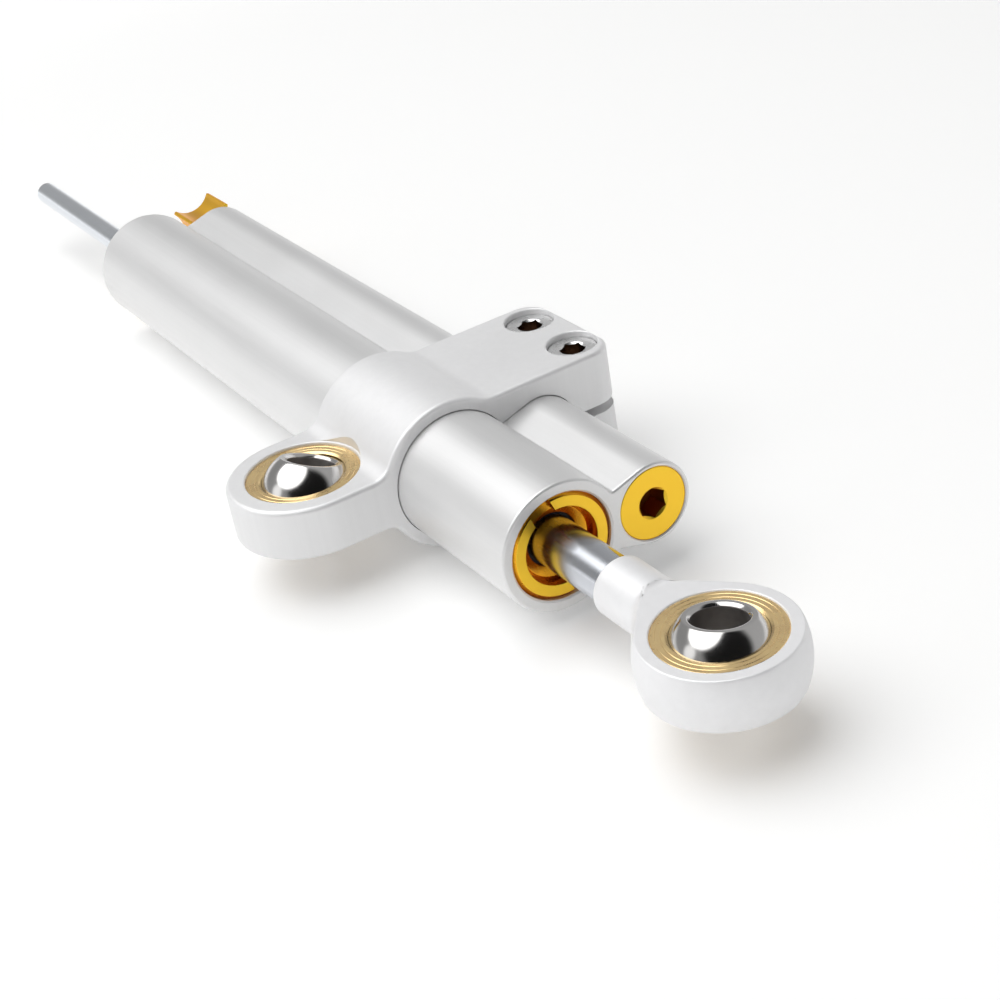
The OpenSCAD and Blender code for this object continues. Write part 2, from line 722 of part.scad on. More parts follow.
module knob() {
    scallop_at = knob_d/2 - scallop_depth + scallop_r;
    knob_edge = 0.6;
    dish = [4, 5.6, 0.8];
    color([0.93, 0.66, 0.1])
    at_side(rear_x) along_back() difference() {
        union() {
            difference() {
                translate([0, 0, knob_gap]) pin(knob_d, knob_len, knob_edge);
                difference() {
                    for (turn = [0:knob_lobes - 1]) rotate([0, 0, 360/knob_lobes*turn + knob_turn])
                        translate([scallop_at, 0, 0]) cylinder(r = scallop_r, h = knob_len + 2*past);
                    cylinder(d = flange_d, h = knob_gap + 4*track_depth);
                }
            }
            translate([0, 0, -hub_len]) cylinder(d = hub_d, h = hub_len + knob_gap + past);
        }
        translate([0, 0, -hub_len - past])
            cylinder(d = needle_tail_d + 2*adjust_clear, h = hub_len + needle_tail_to + 2*past);
        translate([0, 0, -clip_at - clip_t]) rotate_extrude()
            ring_profile(hub_d/2 - clip_bite, hub_d, 0, clip_t);
        translate([0, 0, knob_gap]) rotate_extrude()
            ring_profile(detent_r - detent_d/2, detent_r + detent_d/2, -past, track_depth);
        for (turn = [0:clicks - 1]) rotate([0, 0, 360/clicks*turn])
            translate([detent_r, 0, knob_gap + track_depth - bite])
                cylinder(d1 = detent_d, d2 = detent_d/3, h = dimple_depth);
        translate([0, 0, knob_gap + knob_len - dish[2]])
            cylinder(d1 = dish[0], d2 = dish[1], h = dish[2] + bite);
    }
}

module detent_ball() {
    color([0.75, 0.75, 0.77])
    at_side(rear_x) along_back() translate([detent_r, 0, ball_proud - detent_d/2])
        sphere(d = detent_d, $fn = 32);
}

// Coil under the detent ball, swept as one tube
module detent_spring() {
    mean_r = detent_d/2 - spring_wire/2 - bite;
    low = spring_wire/2 - detent_depth;
    high = ball_proud - detent_d - spring_wire/2 - bite;
    count = spring_turns*spring_steps;
    function spot(i, turn) = [mean_r*cos(turn), mean_r*sin(turn), low + (high - low)*i/count];
    function ring(i, turn) = [for (k = [0:spring_sides - 1]) let (a = 360*k/spring_sides)
        spot(i, turn) + spring_wire/2*[cos(a)*cos(turn), cos(a)*sin(turn), sin(a)]];
    color([0.6, 0.6, 0.62])
    at_side(rear_x) along_back() translate([detent_r, 0, 0]) polyhedron(
        points = [for (i = [0:count]) each ring(i, 360*i/spring_steps)],
        faces = concat(
            [[for (k = [0:spring_sides - 1]) k]],
            [for (i = [0:count - 1], k = [0:spring_sides - 1]) let (n = (k + 1) % spring_sides)
                each [[i*spring_sides + k, (i + 1)*spring_sides + k, (i + 1)*spring_sides + n],
                      [i*spring_sides + k, (i + 1)*spring_sides + n, i*spring_sides + n]]],
            [[for (k = [spring_sides - 1:-1:0]) count*spring_sides + k]]));
}

clamp();
clamp_screws();
clamp_race();
clamp_ball();
twin_barrel();
front_nut();
front_gland();
front_wiper();
front_rod_seal();
front_bush();
front_o_ring();
rear_nut();
rear_gland();
rear_wiper();
rear_rod_seal();
rear_bush();
rear_o_ring();
piston_rod();
piston();
piston_ring();
tail_rod();
rod_end();
rod_end_race();
rod_end_ball();
front_plug();
plug_o_ring();
float_piston();
float_o_ring();
adjuster_body();
adjuster_o_rings();
needle();
knob_clip();
knob();
detent_ball();
detent_spring();
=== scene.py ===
import json
import math

import bmesh
import bpy
from mathutils import Matrix, Vector


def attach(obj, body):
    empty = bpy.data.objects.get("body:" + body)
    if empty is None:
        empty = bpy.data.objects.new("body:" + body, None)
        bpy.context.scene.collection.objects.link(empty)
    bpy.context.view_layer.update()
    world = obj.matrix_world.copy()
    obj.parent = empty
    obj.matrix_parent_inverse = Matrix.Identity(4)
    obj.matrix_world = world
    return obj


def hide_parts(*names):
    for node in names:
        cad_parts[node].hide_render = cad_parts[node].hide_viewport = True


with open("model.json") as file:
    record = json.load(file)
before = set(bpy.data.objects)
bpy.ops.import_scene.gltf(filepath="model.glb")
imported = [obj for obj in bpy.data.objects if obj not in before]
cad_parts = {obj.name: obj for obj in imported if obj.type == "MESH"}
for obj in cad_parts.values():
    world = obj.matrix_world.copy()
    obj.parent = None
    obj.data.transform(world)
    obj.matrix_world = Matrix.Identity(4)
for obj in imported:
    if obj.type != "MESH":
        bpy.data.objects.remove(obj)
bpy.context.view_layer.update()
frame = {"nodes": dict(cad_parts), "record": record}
nodes = frame["nodes"]
scene = bpy.context.scene

# Sizes in millimetres, the same as the solids'
FRONT, REAR = 44.5, -116.0          # the barrels' ends along X
MAIN_Y, SIDE = 21.3, 17.0           # the main barrel's axis, and the side barrel's beyond it
MAIN_R, SIDE_R = 11.0, 7.0          # the barrels
WEB = 28                            # degrees round the main barrel where the web starts
GAP = 0.1                           # between the clamp and the barrels
RING_R = 13.12                      # the clamp's outside round the main barrel
LUG_R, LUG_HALF = 12.9, 4.6         # its lug in plan, and half the lug's thickness
EAR_HALF, EAR_END = 10.6, 33.8      # its ear, from the main barrel's axis
EAR_FILLET, SLIT = 5.0, 1.6
SCREW_X, SCREW_Y = 6.7, 50.2
RACE_R, BORE_R = 9.6, 4.0           # a spherical bearing's outside and its bolt hole
EYE_X = 83.3                        # the rod end's eye
MM = 0.001

# Distances under which points are merged, in millimetres
SAME_POINT, CUT_POINT, THIN = 1e-5, 5e-4, 1e-4

# Turns for what is drawn along Z: towards +X, towards -X, and a section in Y and Z run along X
ALONG = Matrix(((0, 0, 1), (0, 1, 0), (-1, 0, 0))).to_4x4()
BACK = Matrix(((0, 0, -1), (0, 1, 0), (1, 0, 0))).to_4x4()
SECTION = Matrix(((0, 0, 1), (1, 0, 0), (0, 1, 0))).to_4x4()


# Shapes

def arc(cx, cy, r, a0, a1, steps):
    """Points on an arc from angle a0 to a1, in degrees."""
    angles = [math.radians(a0 + (a1 - a0) * k / steps) for k in range(steps + 1)]
    return [(cx + r * math.cos(a), cy + r * math.sin(a)) for a in angles]


def polar(r, angle):
    """The point at a radius and an angle in degrees."""
    return r * math.cos(math.radians(angle)), r * math.sin(math.radians(angle))


def rounded(corners, steps=5):
    """A closed outline of (x, y, radius) corners, with its corners rounded."""
    out = []
    for i, (x, y, r) in enumerate(corners):
        if r <= 0:
            out.append((x, y))
            continue
        here = Vector((x, y))
        a = (Vector(corners[i - 1][:2]) - here).normalized()
        b = (Vector(corners[(i + 1) % len(corners)][:2]) - here).normalized()
        half = math.acos(max(-1.0, min(1.0, a.dot(b)))) / 2
        centre = here + (a + b).normalized() * (r / math.sin(half))
        first = here + a * (r / math.tan(half)) - centre
        last = here + b * (r / math.tan(half)) - centre
        a0, a1 = math.atan2(first.y, first.x), math.atan2(last.y, last.x)
        turn = (a1 - a0 + math.pi) % (2 * math.pi) - math.pi
        angles = [a0 + turn * k / steps for k in range(steps + 1)]
        out += [(centre.x + r * math.cos(t), centre.y + r * math.sin(t)) for t in angles]
    return out


def at(x=0.0, y=0.0, z=0.0, turn=None):
    """A place, with a turn before it."""
    return Matrix.Translation((x, y, z)) @ (turn or Matrix.Identity(4))


def lean(angle, heading):
    """A tilt of the Z axis by an angle towards a heading in plan, in degrees."""
    head = Matrix.Rotation(math.radians(heading), 4, "Z")
    return head @ Matrix.Rotation(math.radians(angle), 4, "Y") @ head.inverted()


def to_object(name, bm, place=None):
    """A mesh becomes an object, still in millimetres, which finish_piece turns into metres."""
    bmesh.ops.remove_doubles(bm, verts=bm.verts, dist=SAME_POINT)
    bmesh.ops.recalc_face_normals(bm, faces=bm.faces)
    if place is not None:
        bmesh.ops.transform(bm, matrix=place, verts=bm.verts)
    mesh = bpy.data.meshes.new(name)
    bm.to_mesh(mesh)
    bm.free()
    obj = bpy.data.objects.new(name, mesh)
    scene.collection.objects.link(obj)
    return obj


def turned(name, loop, n, place=None):
    """Turns a closed outline of (radius, height) round the Z axis, in n segments."""
    bm = bmesh.new()
    rings = []
    for r, z in loop:
        if r < 1e-6:
            rings.append([bm.verts.new((0, 0, z))] * n)
        else:
            angles = [2 * math.pi * k / n for k in range(n)]
            rings.append([bm.verts.new((r * math.cos(a), r * math.sin(a), z)) for a in angles])
    for ring, nxt in zip(rings, rings[1:] + rings[:1]):
        for k in range(n):
            quad = []
            for v in (ring[k], nxt[k], nxt[(k + 1) % n], ring[(k + 1) % n]):
                if v not in quad:
                    quad.append(v)
            if len(quad) >= 3:
                bm.faces.new(quad)
    return to_object(name, bm, place)


def lathe(name, corners, place=None, n=96, steps=5):
    """Turns an outline of (radius, height, corner radius) round the Z axis."""
    return turned(name, rounded(corners, steps), n, place)


def join_rings(bm, rings):
    """Closes a stack of rings of points with walls, a bottom and a top."""
    bm.faces.new(rings[0][::-1])
    bm.faces.new(rings[-1])
    for low, high in zip(rings, rings[1:]):
        for k in range(len(low)):
            n = (k + 1) % len(low)
            bm.faces.new((low[k], low[n], high[n], high[k]))


def prism(name, outline, low, high, place=None):
    """An outline run from one height to another."""
    bm = bmesh.new()
    join_rings(bm, [[bm.verts.new((x, y, z)) for x, y in outline] for z in (low, high)])
    return to_object(name, bm, place)


def hexagon(r):
    """The outline of a hexagon socket, r to its corners."""
    return [polar(r, a) for a in range(0, 360, 60)]


def combine(obj, tool, operation="DIFFERENCE"):
    """Boolean of two closed objects; the tool is used up."""
    mod = obj.modifiers.new("cut", "BOOLEAN")
    mod.operation, mod.object, mod.solver = operation, tool, "EXACT"
    depsgraph = bpy.context.evaluated_depsgraph_get()
    made = bpy.data.meshes.new_from_object(obj.evaluated_get(depsgraph))
    obj.modifiers.remove(mod)
    old, obj.data = obj.data, made
    made.name = obj.name
    bpy.data.meshes.remove(old)
    bpy.data.objects.remove(tool)
    return obj


def clean(obj, angle=0.4):
    """Merges doubled points and, with an angle, the pieces that flat faces were cut into."""
    bm = bmesh.new()
    bm.from_mesh(obj.data)
    bmesh.ops.remove_doubles(bm, verts=bm.verts, dist=CUT_POINT)
    bmesh.ops.dissolve_degenerate(bm, edges=bm.edges, dist=THIN)
    if angle:
        bmesh.ops.dissolve_limit(bm, angle_limit=math.radians(angle), verts=bm.verts,
                                 edges=bm.edges)
    bm.to_mesh(obj.data)
    bm.free()


def bevel(obj, width, chosen=lambda p: True, steps=4, sharp=30):
    """Rounds the edges sharper than an angle in degrees whose middle is chosen."""
    bm = bmesh.new()
    bm.from_mesh(obj.data)
    edges = [e for e in bm.edges
             if len(e.link_faces) == 2 and e.calc_face_angle(0) > math.radians(sharp)
             and chosen((e.verts[0].co + e.verts[1].co) / 2)]
    bmesh.ops.bevel(bm, geom=edges, offset=width, offset_type="OFFSET", segments=steps,
                    profile=0.5, affect="EDGES", clamp_overlap=False, miter_outer="ARC")
    bm.to_mesh(obj.data)
    bm.free()


def finish_piece(obj, body, slot, *replaced, sharp=32, material=None):
    """Brings a piece to metres, smooths it, and says what it rides on and stands for."""
    obj.data.transform(Matrix.Scale(MM, 4))
    obj.data.shade_smooth()
    obj.data.set_sharp_from_angle(angle=math.radians(sharp))
    mod = obj.modifiers.new("normals", "WEIGHTED_NORMAL")
    mod.keep_sharp = True
    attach(obj, body)
    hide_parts(*replaced)
    obj.data.materials.clear()
    obj.data.materials.append(material or LOOKS[slot])


def paint(obj, material, chosen):
    """Gives a second material to the chosen faces of a finished piece."""
    obj.data.materials.append(material)
    for face in obj.data.polygons:
        if chosen(face):
            face.material_index = 1


# Materials

def feed(tree, node, inputs):
    """Links each input that is given a socket, and sets each one that is given a value."""
    for socket, value in inputs.items():
        if isinstance(value, bpy.types.NodeSocket):
            tree.links.new(value, node.inputs[socket])
        else:
            node.inputs[socket].default_value = value


def add(tree, kind, inputs, output=0, **settings):
    """Adds a shader node with its settings and inputs, and returns one of its outputs."""
    node = tree.nodes.new("ShaderNode" + kind)
    for key, value in settings.items():
        setattr(node, key, value)
    feed(tree, node, inputs)
    return node.outputs[output]


def smooth_step(tree, value, low, high, start, end):
    """A value that goes smoothly from start to end as another goes from low to high."""
    inputs = {"Value": value, "From Min": low, "From Max": high, "To Min": start, "To Max": end}
    return add(tree, "MapRange", inputs, "Result", interpolation_type="SMOOTHSTEP")


def look(name, colour, metallic, roughness, stretch, bump, rough_spread=0.1, tone=0.06,
         tone_scale=60.0, grit=0.0, grit_scale=9000.0, turned_by=0.0, grazing_tint_and_shade=None):
    """A procedural material: streaks or grain that change colour, gloss and relief a little.

    The streaks are drawn at the stretch, in waves per metre, and bump and grit are the reliefs'
    depths in metres. turned_by draws highlights out round the X axis, as on a turned rod.
    """
    mat = bpy.data.materials.new(name)
    mat.use_nodes = True
    nt = mat.node_tree
    low, high = 0.3, 0.7            # the span of the noise that is used
    coords = add(nt, "TexCoord", {}, "Object")
    streaks = add(nt, "Mapping", {"Vector": coords, "Scale": stretch}, "Vector")
    fine = add(nt, "TexNoise", {"Vector": streaks, "Scale": 1.0, "Detail": 3.0,
                                "Roughness": 0.6}, "Fac")
    wide = add(nt, "TexNoise", {"Vector": coords, "Scale": tone_scale, "Detail": 4.0}, "Fac")
    half = add(nt, "Math", {0: wide, 1: 0.5}, operation="MULTIPLY")
    both = add(nt, "Math", {0: fine, 1: 0.5, 2: half}, operation="MULTIPLY_ADD")

    base = add(nt, "ValToRGB", {"Fac": both}, "Color")
    stops = base.node.color_ramp.elements
    for stop, position, shade in zip(stops, (low, high), (1 - tone, 1 + tone)):
        stop.position = position
        stop.color = [min(1.0, c * shade) for c in colour] + [1]
    # Towards grazing view the colour turns to a deeper, darker tint: partly the metal's own
    # edge tint, partly painted shade on chamfers and bores
    if grazing_tint_and_shade:
        weight = add(nt, "LayerWeight", {"Blend": 0.5}, "Facing")
        base = add(nt, "MixRGB", {"Fac": weight, "Color1": base, "Color2": grazing_tint_and_shade + (1,)},
                   "Color")

    gloss = add(nt, "MapRange", {"Value": both, "From Min": low, "From Max": high,
                                 "To Min": max(0.02, roughness - rough_spread / 2),
                                 "To Max": roughness + rough_spread / 2}, "Result")

    normal = add(nt, "Bump", {"Height": fine, "Strength": 1.0, "Distance": bump}, "Normal")
    if grit:
        grains = add(nt, "TexNoise", {"Vector": coords, "Scale": grit_scale, "Detail": 2.0},
                     "Fac")
        normal = add(nt, "Bump", {"Height": grains, "Strength": 1.0, "Distance": grit,
                                  "Normal": normal}, "Normal")

    shader = nt.nodes["Principled BSDF"]
    feed(nt, shader, {"Base Color": base, "Metallic": metallic, "Roughness": gloss,
                      "Normal": normal})
    if turned_by:
        tangent = add(nt, "Tangent", {}, "Tangent", direction_type="RADIAL", axis="X")
        feed(nt, shader, {"Tangent": tangent, "Anisotropic": turned_by,
                          "Anisotropic Rotation": 0.25})
    return mat


LOOKS = {
    "clamp_aluminium": look(
        "satin_clamp", (0.85, 0.85, 0.855), 0.4, 0.48, (900, 900, 40), 3.0e-6,
        rough_spread=0.05, tone=0.03, grit=1.5e-6, grit_scale=5000),
    "barrel_aluminium": look(
        "satin_barrels", (0.81, 0.81, 0.81), 0.75, 0.46, (25, 1400, 1400), 1.5e-6,
        rough_spread=0.05, tone=0.025, grit=1.5e-6, grit_scale=6000),
    "gold_anodised": look(
        "gold_anodised", (1.0, 0.69, 0.065), 1.0, 0.36, (300, 300, 300), 1.0e-6,
        grit=1.0e-6, grit_scale=7000, tone=0.05, grazing_tint_and_shade=(0.95, 0.40, 0.01)),
    "chrome_rod": look(
        "hard_chrome", (0.60, 0.62, 0.66), 1.0, 0.15, (3500, 40, 40), 4.0e-7,
        rough_spread=0.04, tone=0.03, turned_by=0.9),
    "ball_steel": look(
        "bearing_steel", (0.58, 0.57, 0.56), 1.0, 0.15, (200, 200, 200), 2.0e-7,
        rough_spread=0.06),
    "race_brass": look(
        "turned_brass", (1.0, 0.71, 0.36), 1.0, 0.28, (700, 700, 700), 5.0e-7,
        rough_spread=0.12, tone=0.08, tone_scale=250),
    "screw_steel": look(
        "stainless_screws", (0.86, 0.86, 0.86), 1.0, 0.28, (500, 500, 500), 1.0e-6),
    "blasted_steel": look(
        "blasted_rod_end", (0.90, 0.90, 0.91), 0.4, 0.5, (600, 600, 600), 3.0e-6,
        rough_spread=0.06, tone=0.03, grit=1.6e-5, grit_scale=4000),
    "plain_steel": look(
        "turned_steel", (0.76, 0.79, 0.83), 1.0, 0.25, (2500, 60, 60), 1.5e-7,
        rough_spread=0.04, tone=0.03),
    "plain_aluminium": look(
        "turned_aluminium", (0.74, 0.75, 0.76), 1.0, 0.30, (2500, 60, 60), 1.0e-6),
    "bush_bronze": look(
        "sintered_bronze", (0.52, 0.36, 0.18), 1.0, 0.45, (1500, 1500, 1500), 4.0e-6),
    "seal_rubber": look(
        "seal_rubber", (0.02, 0.02, 0.022), 0.0, 0.55, (900, 900, 900), 3.0e-6),
    "ring_plastic": look(
        "filled_plastic", (0.12, 0.12, 0.115), 0.0, 0.5, (900, 900, 900), 2.0e-6),
}
# Second materials, painted darker than the parts' own colours as shade: for faces in sockets,
# bores and slots, and for the glands deep in the nuts; the ball's bore also gets a rougher
# finish
SHADE_PAINTED_SOCKET_GOLD = look(
    "socket_gold_painted_shade", (0.42, 0.15, 0.02), 1.0, 0.45, (300, 300, 300), 1.0e-6)
SHADE_PAINTED_SOCKET_STEEL = look(
    "socket_steel_painted_shade", (0.34, 0.25, 0.19), 1.0, 0.18, (500, 500, 500), 1.0e-6)
SHADE_PAINTED_BORE = look(
    "bore_painted_shade", (0.02, 0.02, 0.02), 0.3, 0.5, (500, 500, 500), 1.0e-6)
SHADE_PAINTED_GOLD = look(
    "gold_painted_shade", (0.95, 0.46, 0.03), 1.0, 0.27, (300, 300, 300), 1.0e-6,
    tone=0.05, grazing_tint_and_shade=(0.60, 0.16, 0.005))
ROUGH_SHADE_PAINTED_HOLE = look(
    "rough_hole_painted_shade", (0.36, 0.34, 0.33), 1.0, 0.5, (900, 900, 900), 3.0e-6,
    rough_spread=0.2, tone=0.15)

slot_of = {s["node"]: s["material_slot"] for s in frame["record"]["subparts"]}
for name, obj in nodes.items():
    obj.data.materials.clear()
    obj.data.materials.append(LOOKS[slot_of[name]])


# Clamp

def web_touch(gap):
    """Both barrels' radii with a gap round them, and the angle on the side barrel where the
    web's flat, which starts on the main barrel, touches it."""
    main, side = MAIN_R + gap, SIDE_R + gap
    run = Vector(polar(main, WEB)) - Vector((SIDE, 0))
    away = math.degrees(math.acos(side / run.length))
    return main, side, math.degrees(math.atan2(run.y, run.x)) - away


def fillet_centre(half, r, side):
    """Centre of a fillet between the clamp's ring and a flat at a height of half."""
    return side * math.sqrt((RING_R + r) ** 2 - (half + r) ** 2), half + r


def clamp_section():
    """The clamp's section as one loop: over the top from the lug to the ear, in through the
    slit, round the barrels' opening, out through the slit and back underneath."""
    halves = []
    for lug_fillet in (4.0, 3.0):       # above, below
        lug = fillet_centre(LUG_HALF, lug_fillet, -1)
        ear = fillet_centre(EAR_HALF, EAR_FILLET, 1)
        to_lug = math.degrees(math.atan2(-lug[1], -lug[0]))
        to_ear = math.degrees(math.atan2(ear[1], ear[0]))
        half = [(-36.0, LUG_HALF)]      # past the lug's end, which the plan cuts
        half += arc(*lug, lug_fillet, -90, to_lug, 14)
        half += arc(0, 0, RING_R, to_lug + 180, to_ear, 40)[1:-1]
        half += arc(*ear, EAR_FILLET, to_ear - 180, -90, 12)
        half += [(EAR_END, EAR_HALF)]
        halves.append(half)
    upper, lower = halves[0], [(y, -z) for y, z in halves[1]][::-1]
    main, side, touch = web_touch(GAP)
    start = math.degrees(math.asin(SLIT / 2 / side))
    inner = arc(SIDE, 0, side, start, touch, 26)
    inner += arc(0, 0, main, WEB, 360 - WEB, 110)
    inner += arc(SIDE, 0, side, 360 - touch, 360 - start, 26)
    return upper + [(EAR_END, SLIT / 2)] + inner + [(EAR_END, -SLIT / 2)] + lower


def in_opening(p):
    """Whether a point is on the barrels' opening, between the barrels or on the slit."""
    y, z = p.y - MAIN_Y, p.z
    return (math.hypot(y, z) < MAIN_R + 0.3 or math.hypot(y - SIDE, z) < SIDE_R + 0.3
            or (0 < y < SIDE and abs(z) < 7.0) or (y > SIDE and abs(z) < 1.2))


def in_bore(face):
    """Whether a face is on the wall of the barrels' opening."""
    _, y, z = face.center / MM
    round_main = math.hypot(y - MAIN_Y, z) < MAIN_R + GAP + 0.01
    round_side = math.hypot(y - MAIN_Y - SIDE, z) < SIDE_R + GAP + 0.01
    return (round_main or round_side) and abs(face.normal.x) < 0.1


def make_clamp():
    """The clamp: its section cut to its plan, edges rounded, then bored."""
    block = prism("clamp_block", clamp_section(), -15, 15, at(0, MAIN_Y, 0, SECTION))
    plan = arc(0, 0, LUG_R, 180, 360, 72)
    plan += arc(8.3, 50.5, 4.6, 0, 90, 14) + arc(-8.3, 50.5, 4.6, 90, 180, 14)
    combine(block, prism("plan", plan, -20, 20), "INTERSECT")
    clean(block)
    bevel(block, 0.85, lambda p: not in_opening(p), steps=5)
    bevel(block, 0.12, in_opening, steps=2)

    lip = 0.3                           # rounding of each hole's upper edge
    shoulder = -4.1                     # the race rests on it
    under = [(0, shoulder), (9.2, shoulder), (9.2, -20), (0, -20)]
    combine(block, turned("under", under, 120))
    seat = [(0, shoulder), (RACE_R, shoulder), (RACE_R, 4.3)]
    seat += arc(RACE_R + lip, 4.3, lip, 180, 90, 4) + [(9.9, 20), (0, 20)]
    combine(block, turned("seat", seat, 120))
    for side in (-SCREW_X, SCREW_X):
        head = [(0, 4.6), (4.4, 4.6), (4.4, 10.3)]
        head += arc(4.7, 10.3, lip, 180, 90, 4) + [(4.7, 20), (0, 20)]
        combine(block, turned("head", head, 72, at(side, SCREW_Y)))
        shank = [(0, -9.6), (2.6, -9.6), (2.6, 6), (0, 6)]
        combine(block, turned("shank", shank, 72, at(side, SCREW_Y)))
    clean(block, 0)
    finish_piece(block, "clamp", "clamp_aluminium", "clamp")
    # The opening's walls, seen only in the thin gap round the barrels, are painted near-black:
    # painted shade
    paint(block, SHADE_PAINTED_BORE, in_bore)


# Barrels

def make_barrels():
    """The extrusion of both barrels and their web, bored from end to end."""
    main, side, touch = web_touch(0)
    outline = arc(SIDE, 0, side, -touch, touch, 60) + arc(0, 0, main, WEB, 360 - WEB, 120)
    body = prism("barrels", outline, REAR, FRONT, at(0, MAIN_Y, 0, SECTION))
    bevel(body, 0.5, sharp=60)
    # Heights from the rear end: seats of the nuts and glands, and the piston's bore
    main_bore = [(0, -1), (9.3, -1), (9.3, 0), (9.0, 0.3), (9.0, 8), (8, 8), (8, 152.5),
                 (9, 152.5), (9, 160.2), (9.3, 160.5), (9.3, 162), (0, 162)]
    combine(body, turned("main_bore", main_bore, 120, at(REAR, MAIN_Y, 0, ALONG)))
    # The knob's hub, the adjuster's bore, the reservoir and the plug's seat
    side_bore = [(0, -1), (5.9, -1), (5.9, 0), (5.7, 0.2), (5.7, 2), (5, 2), (5, 124.5),
                 (6, 124.5), (6, 157.95), (6.2, 157.95), (6.2, 160.3), (6.4, 160.5),
                 (6.4, 162), (0, 162)]
    combine(body, turned("side_bore", side_bore, 96, at(REAR, MAIN_Y + SIDE, 0, ALONG)))
    finish_piece(body, "barrel", "barrel_aluminium", "twin_barrel")


# Ring nuts, glands and plug

def make_nut(name, place, node):
    """A ring nut with two slots for its key."""
    profile = [(6.5, -3.5, 0), (9, -3.5, 0), (9, -0.7, 0.1), (8.3, 0, 0.1), (6.5, 0, 0.2)]
    nut = lathe(name, profile, place, 120, 3)
    for turn in (0, 180):
        spot = place @ Matrix.Rotation(math.radians(turn), 4, "Z")
        combine(nut, prism("slot", [(5, -2), (10, -2), (10, 2), (5, 2)], -1.2, 1, spot))
    clean(nut, 0.1)
    finish_piece(nut, "barrel", "gold_anodised", node, sharp=25)
    # Its slots, bore and chamfer are painted a deeper, darker gold than its face: painted shade
    # in the recesses
    face_x = place.translation.x
    paint(nut, SHADE_PAINTED_GOLD, lambda face: abs(face.center.x / MM - face_x) > 0.1)


def make_gland(name, place, shaft, length, node):
    """A seal carrier: lip, wiper's and seal's grooves, flange, O-ring groove, bush's seat."""
    r = shaft / 2
    loop = [(r + 1.23, -length, 0), (8, -length, 0.3), (8, -16.975, 0), (6.5, -16.975, 0),
            (6.5, -15.025, 0), (8, -15.025, 0), (8, -8, 0), (9, -8, 0), (9, -3.8, 0),
            (6, -3.8, 0), (6, -2.2, 0.15), (r + 0.5, -3.15, 0.1), (r + 0.5, -4.2, 0),
            (r + 2, -4.2, 0), (r + 2, -7.2, 0), (r + 0.3, -7.2, 0), (r + 0.3, -10, 0),
            (r + 2, -10, 0), (r + 2, -13, 0), (r + 0.3, -13, 0), (r + 0.3, 6 - length, 0),
            (r + 1.23, 6 - length, 0)]
    # The whole carrier, seen deep inside the nut, is painted the deeper, darker gold: painted
    # shade
    finish_piece(lathe(name, loop, place), "barrel", "gold_anodised", node,
                 material=SHADE_PAINTED_GOLD)


def make_plug():
    """The side barrel's plug, with its hexagon socket and O-ring groove."""
    place = at(FRONT, MAIN_Y + SIDE, 0, ALONG)
    profile = [(0, -7.55, 0), (6, -7.55, 0.3), (6, -6.025, 0), (4.5, -6.025, 0),
               (4.5, -4.075, 0), (6, -4.075, 0), (6, -2.55, 0), (6.2, -2.55, 0),
               (6.2, -0.15, 0.25), (2.72, -0.15, 0.06), (2.3, -0.5, 0), (0, -0.5, 0)]
    plug = lathe("hex_plug", profile, place, 96, 4)
    combine(plug, prism("socket", hexagon(2.656), -4.15, 1, place))
    clean(plug, 0.1)
    finish_piece(plug, "barrel", "gold_anodised", "front_plug", sharp=25)

    def in_socket(face):
        out = face.center / MM - Vector((FRONT, MAIN_Y + SIDE, 0))
        return -4.2 < out.x < -0.6 and math.hypot(out.y, out.z) < 2.7
    # The socket's walls and floor are painted a dark orange-brown: painted shade in the socket
    paint(plug, SHADE_PAINTED_SOCKET_GOLD, in_socket)


# Screws

def make_screws():
    """The two socket head screws, as one piece like their node."""
    profile = [(0, -8.6, 0), (2.5, -8.6, 0.4), (2.5, 4.6, 0), (4.25, 4.6, 0.2),
               (4.25, 9.6, 0.2), (2.36, 9.6, 0.05), (2.05, 9.3, 0), (0, 9.3, 0)]
    screws = None
    for side in (-SCREW_X, SCREW_X):
        place = at(side, SCREW_Y)
        one = lathe("socket_screws", profile, place, 72, 4)
        combine(one, prism("hex", hexagon(2.309), 7.1, 11, place))
        clean(one, 0.1)
        screws = one if screws is None else combine(screws, one, "UNION")
    finish_piece(screws, "clamp", "screw_steel", "clamp_screws", sharp=25)

    def in_socket(face):
        x, y, z = face.center / MM
        return 7.0 < z < 9.25 and math.hypot(abs(x) - SCREW_X, y - SCREW_Y) < 2.32
    # The sockets are painted a darker, browner steel than the heads: painted shade in the
    # recess
    paint(screws, SHADE_PAINTED_SOCKET_STEEL, in_socket)


# Spherical bearings

